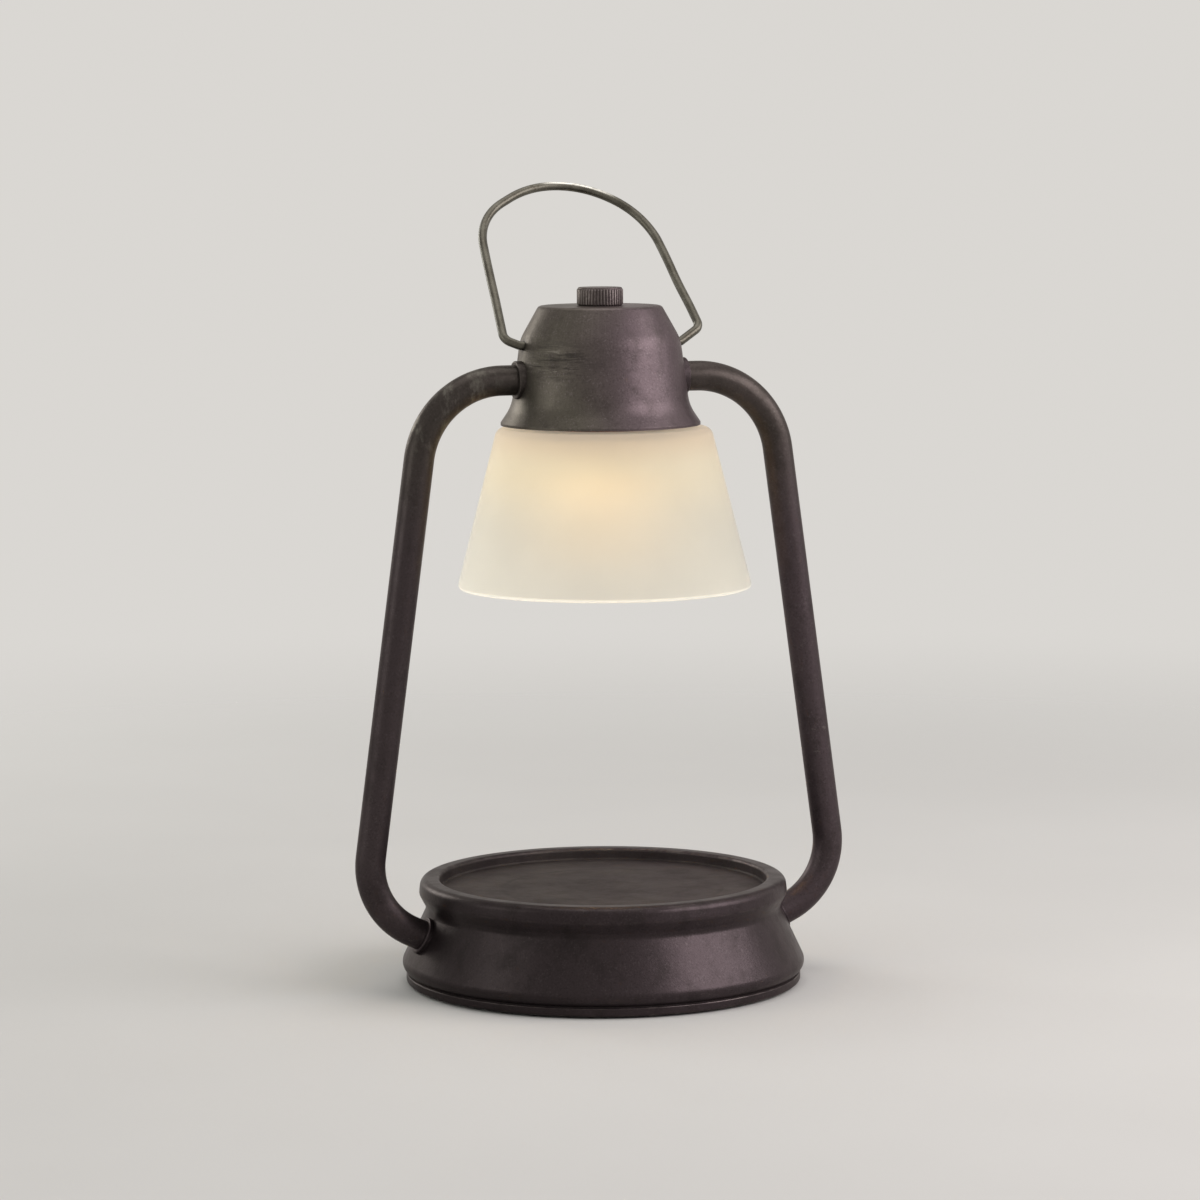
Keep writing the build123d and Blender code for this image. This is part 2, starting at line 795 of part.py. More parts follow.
leg_plane = Plane(origin=(0, -bracket_reach, bracket_screw_z), x_dir=(1, 0, 0), z_dir=(0, 1, 0))
with BuildPart() as holder_screws:
    add(screw(leg_plane))
    mirror(about=Plane.XZ)
save(holder_screws.part, "holder_screws")

# ---------------------------------------------------------------- reflector bulb
bulb_rim_z = bulb_front + bulb_rim_height
bell_top = Vector(bulb_neck_radius, bulb_base_z)
bell_foot = Vector(bulb_radius, bulb_rim_z)
bell_side = (bell_foot - bell_top).normalized().rotate(Axis.Z, 90)
bell_middle = (bell_top + bell_foot) / 2 + bell_side * bulb_bulge

with BuildPart() as bulb_base:
    with BuildSketch(Plane.XY.offset(bulb_base_z)):
        Circle(bulb_base_radius)
    extrude(amount=bulb_base_height)
    chamfer(bulb_base.edges().filter_by(GeomType.CIRCLE), length=bulb_base_chamfer)
save(bulb_base.part, "bulb_base")

with BuildPart() as bulb_reflector:
    with BuildSketch(Plane.XZ):
        with BuildLine():
            ThreePointArc(bell_top, bell_middle, bell_foot)
            Line(bell_foot, (bulb_radius, bulb_front))
            offset(amount=bulb_wall, side=Side.RIGHT)
        make_face()
    revolve(axis=Axis.Z)
save(bulb_reflector.part, "bulb_reflector")

with BuildPart() as bulb_lens:
    with BuildSketch(Plane.XY.offset(bulb_front + lens_recess)):
        Circle(bulb_radius - bulb_wall)
    extrude(amount=lens_thickness)
save(bulb_lens.part, "bulb_lens")

with BuildPart() as bulb_capsule:
    with BuildSketch(Plane.XY.offset(bulb_base_z)):
        Circle(capsule_radius)
    extrude(amount=-capsule_length)
    fillet(bulb_capsule.faces().sort_by(Axis.Z)[0].edges(), capsule_round)
save(bulb_capsule.part, "bulb_capsule")

with BuildPart() as bulb_pins:
    with BuildSketch(Plane.XY.offset(bulb_top)):
        with PolarLocations(pin_reach, 2):
            Circle(pin_radius)
    extrude(amount=pin_length)
    with BuildSketch(Plane.XY.offset(bulb_top + pin_length)):
        with PolarLocations(pin_reach, 2):
            Circle(pin_head_radius)
    extrude(amount=pin_head_height)
save(bulb_pins.part, "bulb_pins")

# ---------------------------------------------------------------- bail
# The wire is bent by hand, flat in one plane, which turns about the line through both cap holes.
# Its left leg stands closer and lower than its right one.
lean = radians(bail_lean)
bail_plane = Plane(origin=(0, 0, bail_z), x_dir=(1, 0, 0), z_dir=(0, -cos(lean), sin(lean)))
bail_end = cap_radius_at_bail - cap_wall - bail_tail
bail_knee = cap_radius_at_bail + bail_knee_gap
bail_left_reach = cap_radius_at_bail + bail_left_overhang
bail_right_reach = cap_radius_at_bail + bail_right_overhang
bail_points = [
    (-bail_end, 0),
    (-bail_knee, 0),
    (-bail_left_reach, bail_left_rise),
    (bail_left_corner_inset - bail_left_reach, bail_crown_rise - bail_left_corner_drop),
    (-bail_crown_shift, bail_crown_rise),
    (bail_right_reach - bail_right_corner_inset, bail_crown_rise - bail_right_corner_drop),
    (bail_right_reach, bail_right_rise),
    (bail_knee, 0),
    (bail_end, 0),
]

# The crown's bend takes the run that the corners' bends leave it.
left_foot, left_corner, crown, right_corner, right_foot = [Vector(*p) for p in bail_points[2:7]]
left_run = bail_left_corner_radius * half_turn(left_foot, left_corner, crown)
right_run = bail_right_corner_radius * half_turn(crown, right_corner, right_foot)
crown_run = min((crown - left_corner).length - left_run, (right_corner - crown).length - right_run)
crown_run -= bail_crown_straight
bail_crown_radius = crown_run / half_turn(left_corner, crown, right_corner)
bail_bends = [
    bail_knee_radius,
    bail_foot_radius,
    bail_left_corner_radius,
    bail_crown_radius,
    bail_right_corner_radius,
    bail_foot_radius,
    bail_knee_radius,
]

with BuildPart() as bail:
    with BuildLine(bail_plane) as bail_path:
        FilletPolyline(*bail_points, radius=bail_bends)
    with BuildSketch(Plane(origin=(-bail_end, 0, bail_z), x_dir=(0, 1, 0), z_dir=(-1, 0, 0))):
        Circle(wire_radius)
    sweep(path=bail_path.wire())
save(bail.part, "bail")

# Push-on clips keep the wire's ends in the cap.
clip_reach = cap_radius_at_bail - cap_wall - clip_gap
with BuildPart() as bail_clips:
    with BuildSketch(Plane.YZ.offset(clip_reach)):
        with Locations((0, bail_z)):
            Circle(clip_radius)
            Circle(wire_radius, mode=Mode.SUBTRACT)
    extrude(amount=-clip_thickness)
    mirror(about=Plane.YZ)
save(bail_clips.part, "bail_clips")
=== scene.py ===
"""Looks of the candle warmer lamp: a bronze-coated lantern, a lit frosted shade and a worn wire bail.

The meshes are drawn in millimetres in the CAD's own frame and written in metres. Every piece that
replaces a CAD node has that node's place and size. The finishes work in metres.
"""
import math

import bpy
from mathutils import Matrix, Vector, noise


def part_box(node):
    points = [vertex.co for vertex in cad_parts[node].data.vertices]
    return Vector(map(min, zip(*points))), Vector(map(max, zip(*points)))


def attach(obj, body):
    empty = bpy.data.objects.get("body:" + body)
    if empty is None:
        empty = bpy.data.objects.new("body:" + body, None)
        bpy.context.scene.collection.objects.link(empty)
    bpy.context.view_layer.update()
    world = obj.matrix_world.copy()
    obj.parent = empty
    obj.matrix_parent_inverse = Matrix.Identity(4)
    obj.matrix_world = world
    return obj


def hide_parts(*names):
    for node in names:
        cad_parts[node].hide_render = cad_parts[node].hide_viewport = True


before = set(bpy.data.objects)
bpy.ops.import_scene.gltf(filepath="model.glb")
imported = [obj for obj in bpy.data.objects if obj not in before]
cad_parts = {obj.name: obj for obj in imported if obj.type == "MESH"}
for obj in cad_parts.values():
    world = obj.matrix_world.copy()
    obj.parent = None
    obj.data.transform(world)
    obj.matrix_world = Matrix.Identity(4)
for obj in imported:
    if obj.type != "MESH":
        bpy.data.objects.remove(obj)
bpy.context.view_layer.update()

MM = 0.001


# ---------------------------------------------------------------- sizes, in millimetres
def span(node):
    """Lowest and highest corner of a CAD node, in millimetres."""
    low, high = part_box(node)
    return low / MM, high / MM


base_low, base_high = span("base_shell")
cap_low, cap_high = span("cap_shell")
knob_low, knob_high = span("top_knob")
shade_low, shade_high = span("glass_shade")
foot_low, foot_high = span("foot_pads")
bulb_neck_z = span("bulb_base")[0].z
bulb_front_z = span("bulb_reflector")[0].z

# The base and the cap are spun from sheet. The tray lies inside the base's rim.
sheet_wall = 1.0
rim_radius, rim_drop, rim_lean, rim_width = 72.4, 6.0, 0.7, 7.5
tray_radius, tray_depth = rim_radius - rim_lean - rim_width, 4.8
tray_z = base_high.z - tray_depth

# The side tubes meet the base's skirt square to its face, and the cap level.
entry_place = Vector((73.201, 0, 21.8))
entry_tilt = math.radians(25.1406)
entry_out = Vector((math.cos(entry_tilt), 0, math.sin(entry_tilt)))
cap_tube_z = 237.3
tube_radius, tube_bore, tube_gap = 5.9, 5.0, 0.1

# The bail is hinged in two holes of the cap.
bail_z, bail_hole_reach = 250.5, 31.6
wire_radius, wire_gap = 1.75, 0.12

# Swept pieces are drawn this much thinner than their nodes, so that their facets stay inside.
skin = 0.04

knob_radius, rib_height, rib_count = 9.0, 0.4, 46
inlet_z, inlet_radius, inlet_gap = 15.0, 4.6, 0.05


# ---------------------------------------------------------------- outlines, in millimetres
def spun(vector, angle):
    """A flat vector turned by an angle."""
    x, y = vector
    return Vector((x * math.cos(angle) - y * math.sin(angle), x * math.sin(angle) + y * math.cos(angle)))


def rounded(points, radii, edge=1.6, step=math.radians(5)):
    """Rounds an outline's corners. Returns its points and a mark for each.

    A mark is above 0 on an outer edge and below 0 in a hollow, and nearer to 1 the sharper the corner
    is: full for a radius up to edge. The piece lies on the left of the outline.
    """
    corners = [Vector(p) for p in points]
    made, marks = [], []
    for i, corner in enumerate(corners):
        radius = radii[i]
        if radius <= 0 or i in (0, len(corners) - 1):
            made.append(corner)
            marks.append(0.0)
            continue
        arrive = (corner - corners[i - 1]).normalized()
        leave = (corners[i + 1] - corner).normalized()
        turn = math.atan2(arrive.cross(leave), arrive.dot(leave))
        reach = radius * math.tan(abs(turn) / 2)
        side = math.copysign(1, turn)
        centre = corner - arrive * reach + Vector((-arrive.y, arrive.x)) * radius * side
        start = corner - arrive * reach - centre
        count = max(3, math.ceil(abs(turn) / step))
        for k in range(count + 1):
            made.append(centre + spun(start, turn * k / count))
            marks.append(side * min(1, edge / radius) * math.sin(math.pi * k / count))
    return made, marks


def inset(points, wall):
    """The corners of an open outline moved to its left by a wall's thickness."""
    corners = [Vector(p) for p in points]
    runs = [(b - a).normalized() for a, b in zip(corners, corners[1:])]
    sides = [Vector((-run.y, run.x)) for run in runs]
    made = [corners[0] + sides[0] * wall]
    for corner, before, after in zip(corners[1:-1], sides, sides[1:]):
        made.append(corner + (before + after) * wall / (1 + before.dot(after)))
    made.append(corners[-1] + sides[-1] * wall)
    return made


def sheet_outline(points, radii, wall, least=0.15):
    """The closed outline of a spun sheet, and its marks: its outside as given, its inside a wall further in.

    The inside's corners are rounded by at least a smallest radius.
    """
    corners = [Vector(p) for p in points]
    inner_radii = [0.0]
    for before, corner, after, radius in zip(corners, corners[1:], corners[2:], radii[1:]):
        turn = (corner - before).cross(after - corner)
        inner_radii.append(max(least, radius - math.copysign(wall, turn)))
    inner_radii.append(0.0)
    outer, outer_marks = rounded(points, radii)
    inner, _ = rounded(inset(points, wall), inner_radii)
    return outer + inner[::-1], outer_marks + [0.0] * len(inner)


def arc(start, middle, end, count):
    """Points along the circle through three points."""
    a, b, c = (Vector(p) for p in (start, middle, end))
    u, v = b - a, c - a
    far_u, far_v = u.length_squared, v.length_squared
    centre = a + Vector((v.y * far_u - u.y * far_v, u.x * far_v - v.x * far_u)) / (2 * u.cross(v))
    spoke = a - centre
    turn = spoke.angle_signed(c - centre)
    return [centre + spun(spoke, -turn * i / count) for i in range(count + 1)]


def along(line, step):
    """A line with extra points on its long runs, about a step apart."""
    made = [line[0]]
    for a, b in zip(line, line[1:]):
        count = max(1, round((b - a).length / step))
        made += [a.lerp(b, (i + 1) / count) for i in range(count)]
    return made


# ---------------------------------------------------------------- forms, in millimetres
class Form:
    """A mesh before it is written: its corners, its faces and a mark on each corner."""

    def __init__(self, corners, faces, marks):
        self.corners = corners
        self.faces = faces
        self.marks = marks

    def moved(self, matrix):
        return Form([matrix @ corner for corner in self.corners], self.faces, self.marks)


def turned(outline, marks=None, segments=192):
    """A closed outline of (radius, height) points turned round the Z axis.

    The outline may be a function that gives the points at an angle, for ribs and facets.
    """
    outline_at = outline if callable(outline) else lambda angle: outline
    first = outline_at(0.0)
    marks = marks or [0.0] * len(first)
    corners = [[] for _ in first]
    for i in range(segments):
        angle = math.tau * i / segments
        for ring, (radius, height) in zip(corners, outline_at(angle)):
            if radius > 1e-6 or not ring:
                ring.append(Vector((radius * math.cos(angle), radius * math.sin(angle), height)))
    starts, total = [], 0
    for ring in corners:
        starts.append(total)
        total += len(ring)
    faces = []
    for j in range(len(corners)):
        k = (j + 1) % len(corners)
        a_pole, b_pole = len(corners[j]) == 1, len(corners[k]) == 1
        if a_pole and b_pole:
            continue
        for i in range(segments):
            n = (i + 1) % segments
            if a_pole:
                faces.append((starts[j], starts[k] + n, starts[k] + i))
            elif b_pole:
                faces.append((starts[j] + i, starts[j] + n, starts[k]))
            else:
                faces.append((starts[j] + i, starts[j] + n, starts[k] + n, starts[k] + i))
    flat = [corner for ring in corners for corner in ring]
    flat_marks = [mark for ring, mark in zip(corners, marks) for _ in ring]
    return Form(flat, faces, flat_marks)


def drill(radius, low, high, segments):
    """A plain round bar along the Z axis, for cutting a hole."""
    return turned([(0, low), (radius, low), (radius, high), (0, high)], segments=segments)


def swept(path, across, radius, sides, bore=0.0, mark=None):
    """A round wire, or a tube with a bore, along a path that lies square to the direction across.

    mark gives a corner's mark from the path's point and the direction out of it.
    """
    rings, marks = [], []
    for i, point in enumerate(path):
        before, after = path[max(i - 1, 0)], path[min(i + 1, len(path) - 1)]
        side = across.cross(after - before).normalized()
        ring = []
        for k in range(sides):
            angle = math.tau * k / sides
            spoke = side * math.cos(angle) * radius + across * math.sin(angle) * radius
            ring.append(spoke)
            marks.append(mark(point, spoke.normalized()) if mark else 0.0)
        rings.append(ring)
    corners = [point + spoke for point, ring in zip(path, rings) for spoke in ring]
    faces = []
    last = (len(path) - 1) * sides
    for a in range(0, last, sides):
        for k in range(sides):
            n = (k + 1) % sides
            faces.append((a + k, a + n, a + sides + n, a + sides + k))
    if not bore:
        faces.append(tuple(range(sides - 1, -1, -1)))
        faces.append(tuple(last + k for k in range(sides)))
        return Form(corners, faces, marks)
    inside = len(corners)
    corners += [point + spoke * (bore / spoke.length) for point, ring in zip(path, rings) for spoke in ring]
    marks += [0.0] * inside
    faces += [tuple(inside + c for c in face[::-1]) for face in faces]
    for k in range(sides):
        n = (k + 1) % sides
        faces.append((n, k, inside + k, inside + n))
        faces.append((last + k, last + n, inside + last + n, inside + last + k))
    return Form(corners, faces, marks)


def mirrored(point):
    """A point's place on the other side of the lamp."""
    return Vector((-point.x, point.y, point.z))


def flipped(form):
    """A form mirrored from the right side to the left."""
    corners = [mirrored(corner) for corner in form.corners]
    return Form(corners, [face[::-1] for face in form.faces], form.marks)


def facing(origin, direction):
    """A matrix that turns +Z to a direction and moves a form to an origin."""
    return Matrix.Translation(origin) @ Vector(direction).to_track_quat("Z", "Y").to_matrix().to_4x4()


def around(count, radius, start):
    """Places spread evenly round the Z axis, from a start angle on."""
    places = []
    for i in range(count):
        angle = start + math.tau * i / count
        place = Matrix.Translation((radius * math.cos(angle), radius * math.sin(angle), 0))
        places.append(place @ Matrix.Rotation(angle, 4, "Z"))
    return places


# ---------------------------------------------------------------- pieces
SHARP = math.radians(35)


def show(name, data):
    """A new object in the scene."""
    made = bpy.data.objects.new(name, data)
    bpy.context.scene.collection.objects.link(made)
    return made


def write_mesh(name, forms):
    """One mesh object in metres, smooth but for its sharp edges."""
    corners, faces, marks = [], [], []
    for form in forms:
        faces += [tuple(len(corners) + c for c in face) for face in form.faces]
        corners += [corner * MM for corner in form.corners]
        marks += form.marks
    mesh = bpy.data.meshes.new(name)
    mesh.from_pydata(corners, [], faces)
    mesh.attributes.new("edge", "FLOAT", "POINT").data.foreach_set("value", marks)
    mesh.shade_smooth()
    mesh.set_sharp_from_angle(angle=SHARP)
    return show(name, mesh)


def piece(name, forms, finish, body, slot, *nodes):
    """A finished piece that rides on a body and stands for CAD nodes."""
    made = write_mesh(name, forms)
    made.data.materials.append(finish)
    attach(made, body)
    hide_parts(*nodes)
    return made


def cut(made, forms):
    """Cuts forms out of a piece."""
    tool = write_mesh(made.name + "_cutter", forms)
    modifier = made.modifiers.new("cut", "BOOLEAN")
    modifier.object = tool
    modifier.operation = "DIFFERENCE"
    modifier.solver = "EXACT"
    graph = bpy.context.evaluated_depsgraph_get()
    mesh = bpy.data.meshes.new_from_object(
        made.evaluated_get(graph), preserve_all_data_layers=True, depsgraph=graph
    )
    made.modifiers.clear()
    made.data = mesh
    mesh.set_sharp_from_angle(angle=SHARP)
    bpy.data.objects.remove(tool)


# ---------------------------------------------------------------- finishes, in metres
RIGHT = (0.948, -0.317, 0.0)  # in the usual front view
FLAT = (1, 1, 0)  # drops the height
# the coat's two tints: olive for the painted tint of the light on the left side, purple for the right side
OLIVE, PURPLE = (0.090, 0.080, 0.064), (0.102, 0.076, 0.083)
DARK_COAT, PALE_COAT = (0.040, 0.032, 0.030), (0.165, 0.135, 0.140)


class Finish:
    """A Principled material, with short calls that add texture nodes in the piece's own coordinates."""

    def __init__(self, name, **constants):
        self.material = bpy.data.materials.new(name)
        self.material.use_nodes = True
        self.tree = self.material.node_tree
        self.shader = self.tree.nodes["Principled BSDF"]
        self.place = self.add("ShaderNodeTexCoord").outputs["Object"]
        for socket, value in constants.items():
            self.set(socket.replace("_", " "), value)

    def add(self, kind, inputs=None, **settings):
        node = self.tree.nodes.new(kind)
        for key, value in settings.items():
            setattr(node, key, value)
        for key, value in (inputs or {}).items():
            self.feed(node.inputs[key], value)
        return node

    def feed(self, socket, value):
        if isinstance(value, bpy.types.NodeSocket):
            self.tree.links.new(value, socket)
        else:
            socket.default_value = value

    def set(self, socket, value):
        self.feed(self.shader.inputs[socket], value)

    def noise(self, scale, detail=3.0, rough=0.55, place=None, warp=0.0):
        inputs = {"Vector": place or self.place, "Scale": scale, "Detail": detail}
        inputs.update({"Roughness": rough, "Distortion": warp})
        return self.add("ShaderNodeTexNoise", inputs).outputs["Fac"]

    def level(self, value, low, high, to_low=0.0, to_high=1.0):
        """A value's smooth passage from one level to another, as it goes from low to high."""
        inputs = {"Value": value, "From Min": low, "From Max": high, "To Min": to_low, "To Max": to_high}
        return self.add("ShaderNodeMapRange", inputs, interpolation_type="SMOOTHSTEP").outputs["Result"]

    def band(self, value, rise, fall):
        """1 where a value lies between two passages, and 0 outside them."""
        return self.times(self.level(value, *rise), self.level(value, *fall))

    def maths(self, operation, a, b):
        return self.add("ShaderNodeMath", {0: a, 1: b}, operation=operation).outputs[0]

    def plus(self, a, b):
        return self.maths("ADD", a, b)

    def minus(self, a, b):
        return self.maths("SUBTRACT", a, b)

    def times(self, a, b):
        return self.maths("MULTIPLY", a, b)

    def vector(self, operation, inputs, output=0):
        return self.add("ShaderNodeVectorMath", inputs, operation=operation).outputs[output]

    def mix(self, share, a, b, blend="MIX"):
        """A colour on its way from a to b. A colour may be written as its red, green and blue."""
        a, b = ((*c, 1) if isinstance(c, tuple) else c for c in (a, b))
        inputs = {"Factor": share, 6: a, 7: b}
        return self.add("ShaderNodeMix", inputs, data_type="RGBA", blend_type=blend).outputs[2]

    def height(self):
        return self.add("ShaderNodeSeparateXYZ", {"Vector": self.place}).outputs["Z"]

    def across(self):
        """How far right a place lies, square to the lamp's usual front view."""
        return self.vector("DOT_PRODUCT", {0: self.place, 1: RIGHT}, "Value")

    def painted_side_light(self, colour, left, right, reach):
        """A colour that is scaled by one number on the left and by another on the right, to paint shade on
        one side and light on the other.
        """
        tone = self.level(self.across(), -reach, reach, left, right)
        return self.vector("SCALE", {0: colour, "Scale": tone})

    def stretched(self, x, y, z):
        """The piece's coordinates scaled along each axis, for grain that runs one way."""
        return self.vector("MULTIPLY", {0: self.place, 1: (x, y, z)})

    def folded(self):
        """The piece's coordinates with its left half folded onto its right half."""
        return self.vector("ABSOLUTE", {0: self.place})

    def round_the_axis(self, reach):
        """A place that changes only with the angle round the Z axis."""
        unit = self.vector("NORMALIZE", {0: self.stretched(*FLAT)})
        return self.vector("SCALE", {0: unit, "Scale": reach})

    def distance(self, point, place=None):
        return self.vector("DISTANCE", {0: place or self.place, 1: point}, "Value")

    def from_axis(self, x=0.0, y=0.0):
        """The distance from an upright line."""
        return self.distance((x, y, 0), self.stretched(*FLAT))

    def near(self, point, inner, outer, place=None):
        """1 within a distance of a point and 0 beyond another distance."""
        return self.level(self.distance(point, place), outer, inner)

    def edge(self):
        """The mesh's own mark of outer edges and hollows."""
        return self.add("ShaderNodeAttribute", attribute_name="edge").outputs["Fac"]

    def bump(self, height, distance, strength, under=None):
        inputs = {"Height": height, "Distance": distance, "Strength": strength}
        if under:
            inputs["Normal"] = under
        return self.add("ShaderNodeBump", inputs).outputs["Normal"]

    def done(self, colour, rough, normal):
        self.set("Base Color", colour)
        self.set("Roughness", rough)
        self.set("Normal", normal)
        return self.material


def bronze_coat(name, tone, painted_left_tint, matt, details=None):
    """Satin bronze coat with fine metal in it: purple-brown, mottled and flecked, and darker in its hollows.
    Its hue carries a painted tint of the light: olive on the left and purple on the right in the usual
    front view, with a random wander.

    tone scales its colours, the tint share is how far the painted olive tint of the left side reaches, and
    matt is its roughness. details may add a part's own marks to the colour, the roughness and the normal.
    """
    rubbed, darkening = (0.17, 0.145, 0.135), (0.010, 0.008, 0.0075)
    olive, purple, dark, pale = (
        tuple(part * tone for part in colour) for colour in (OLIVE, PURPLE, DARK_COAT, PALE_COAT)
    )
    f = Finish(name, Metallic=0.68, Specular_IOR_Level=0.3, Specular_Tint=(0.7, 0.66, 0.64, 1))
    broad, patches, groups = f.noise(14), f.noise(90, 4, 0.65), f.noise(240)
    fleck, rub, dents = f.noise(1300, 2, 0.6), f.noise(190, 3, 0.6), f.noise(150, 2)
    # painted tint of the light by side: olive on the left and purple on the right in the usual front view,
    # with a random wander
    side = f.plus(f.level(f.across(), -0.016, 0.018), f.level(broad, 0.3, 0.7, -0.2, 0.2))
    colour = f.mix(f.times(f.minus(1.0, side), painted_left_tint), purple, olive)
    colour = f.mix(f.level(patches, 0.46, 0.72, 0.0, 0.45), colour, dark)
    colour = f.mix(f.level(fleck, 0.47, 0.30, 0.0, 0.35), colour, dark)
    bright = f.times(f.level(fleck, 0.54, 0.72), f.level(groups, 0.38, 0.62, 0.08, 0.55))
    colour = f.mix(bright, colour, pale)
    worn = f.times(f.level(f.edge(), 0.2, 0.95), f.level(rub, 0.36, 0.72))
    colour = f.mix(f.times(worn, 0.35), colour, rubbed)
    # darker in the hollows
    hollow = f.level(f.edge(), -0.15, -0.8)
    colour = f.mix(f.times(hollow, 0.5), colour, darkening)
    rough = f.minus(f.level(patches, 0.35, 0.7, matt, matt + 0.07), f.times(worn, 0.06))
    normal = f.bump(dents, 0.0005, 0.25, under=f.bump(fleck, 0.00009, 0.6))
    if details:
        colour, rough, normal = details(f, colour, rough, normal)
    return f.done(colour, rough, normal)


def cap_details(f, colour, rough, normal):
    """Rub marks beside the left tube, faint brush lines up the shoulder and a darker ring round the wire's
    holes.
    """
    scored, bared = (0.016, 0.014, 0.013), (0.21, 0.19, 0.165)
    brushed, darkening = (0.15, 0.13, 0.12), (0.010, 0.008, 0.007)
    rub_place, squash = Vector((-0.0270, -0.0200, 0.2452)), Vector((1, 1, 2.1))
    rubbed = f.near(tuple(rub_place * squash), 0.007, 0.0215, f.stretched(*squash))
    streaks = f.noise(105, 6, 0.74, f.stretched(0.5, 0.5, 4.6), warp=0.35)
    colour = f.mix(f.times(f.times(f.level(streaks, 0.47, 0.60), rubbed), 0.7), colour, scored)
    colour = f.mix(f.times(f.times(f.level(streaks, 0.41, 0.34), rubbed), 0.6), colour, bared)
    normal = f.bump(streaks, 0.0003, f.times(rubbed, 0.8), under=normal)
    shoulder = f.band(f.height(), rise=(0.2515, 0.2565), fall=(0.2655, 0.2640))
    lines = f.level(f.noise(26, 3, 0.7, f.round_the_axis(1.2)), 0.52, 0.68)
    colour = f.mix(f.times(f.times(lines, shoulder), 0.22), colour, brushed)
    # darker round the wire's holes
    hole = f.near((bail_hole_reach * MM, 0, bail_z * MM), 0.0016, 0.0046, f.folded())
    colour = f.mix(f.times(hole, 0.8), colour, darkening)
    return colour, f.plus(rough, f.times(rubbed, 0.05)), normal


def base_details(f, colour, rough, normal):
    """Painted shade on the left and painted light on the right, with a matt, dusty tray that jars have
    marked.
    """
    dusty, printed = (0.115, 0.100, 0.090), (0.012, 0.010, 0.010)
    wall, floor = tray_radius * MM, tray_z * MM
    # painted shade on the left and painted light on the right
    colour = f.painted_side_light(colour, 0.68, 1.2, 0.045)
    tray = f.times(
        f.level(f.from_axis(), wall + 0.0006, wall - 0.0002),
        f.level(f.height(), floor - 0.0009, floor - 0.0005),
    )
    dust = f.noise(38, 5, 0.65)
    colour = f.mix(f.times(tray, f.level(dust, 0.3, 0.7, 0.1, 0.4)), colour, dusty)
    ring = f.band(f.from_axis(0.003, -0.002), rise=(0.0415, 0.0425), fall=(0.0445, 0.0435))
    ring = f.times(f.times(ring, tray), f.level(dust, 0.42, 0.62, 0.0, 0.5))
    colour = f.mix(ring, colour, printed)
    return colour, f.plus(rough, f.times(tray, 0.24)), normal


def tube_details(f, colour, rough, normal):
    """Painted shade on the left tube and painted light on the right one, rubbed patches on the left bend,
    where the lamp is held, and a few small scuffs.
    """
    greener, bared, scuffed = (0.96, 1.04, 0.88), (0.140, 0.130, 0.110), (0.19, 0.165, 0.15)
    # painted shade on the left and painted light on the right
    colour = f.painted_side_light(colour, 0.88, 1.18, 0.060)
    colour = f.mix(f.level(f.height(), 0.165, 0.225), colour, greener, "MULTIPLY")
    rubbed = f.level(f.noise(85, 5, 0.7, f.stretched(1.5, 1, 0.7)), 0.47, 0.63)
    bend = f.near((-0.066, 0, 0.232), 0.010, 0.034)
    colour = f.mix(f.times(rubbed, f.times(bend, 0.75)), colour, bared)
    scratch = f.noise(300, 4, 0.75, f.stretched(0.5, 1.6, 1))
    scuff = f.times(f.level(scratch, 0.60, 0.68), f.level(f.noise(30, 1), 0.55, 0.68))
    colour = f.mix(f.times(scuff, 0.25), colour, scuffed)
    return colour, rough, f.bump(scuff, 0.00008, 0.5, under=normal)


def knob_details(f, colour, rough, normal):
    """The ribs' crests are rubbed lighter."""
    rubbed = (0.22, 0.19, 0.175)
    tip = knob_radius * MM
    crest = f.level(f.from_axis(), tip - 0.00032, tip - 0.00005)
    rub = f.level(f.noise(500, 3, 0.7), 0.3, 0.6)
    return f.mix(f.times(f.times(crest, rub), 0.5), colour, rubbed), rough, normal


def worn_bronze():
    """The bail's thin olive coat, streaked along the wire, with bare metal and a painted near-white highlight
    along the top of the crown.
    """
    dark, light, bare_and_highlight = (0.084, 0.076, 0.060), (0.125, 0.116, 0.094), (0.86, 0.83, 0.76)
    streak, speck = (0.055, 0.042, 0.031), (0.26, 0.24, 0.20)
    f = Finish("worn_bronze", Metallic=0.8, Specular_IOR_Level=0.4)
    streaks = f.noise(420, 4, 0.7, f.stretched(0.6, 1.0, 0.6))
    patches, fleck = f.noise(160), f.noise(1100, 3, 0.7)
    colour = f.mix(f.level(patches, 0.35, 0.65), dark, light)
    colour = f.mix(f.level(streaks, 0.56, 0.70, 0.0, 0.6), colour, streak)
    colour = f.mix(f.level(fleck, 0.58, 0.70, 0.0, 0.35), colour, speck)
    # bare metal and a painted highlight on the upper side of the crown
    rubbed = f.times(f.level(f.edge(), 0.05, 0.6), f.level(streaks, 0.30, 0.50, 0.35, 1.0))
    colour = f.mix(rubbed, colour, bare_and_highlight)
    return f.done(colour, f.level(patches, 0.3, 0.7, 0.30, 0.42), f.bump(streaks, 0.00012, 0.6))


def metal(name, base, tint, rough, patch=60):
    """A bare or plated metal with fine grain and clouded tone."""
    f = Finish(name, Metallic=1.0)
    clouds, grain = f.noise(patch, 4, 0.6), f.noise(500, 3, 0.6)
    colour = f.mix(f.level(clouds, 0.35, 0.68), base, tint)
    return f.done(colour, f.level(grain, 0.3, 0.7, rough - 0.07, rough + 0.1), f.bump(grain, 0.00005, 0.4))


def moulded(name, base, tint, rough, grain=900, bump=0.00005):
    """A moulded, cast or fired surface: fine grain and slightly clouded colour."""
    f = Finish(name)
    clouds, fine = f.noise(45, 4, 0.6), f.noise(grain, 3, 0.6)
    colour = f.mix(f.level(clouds, 0.35, 0.68), base, tint)
    return f.done(colour, f.level(fine, 0.3, 0.7, rough - 0.06, rough + 0.08), f.bump(fine, bump, 0.5))


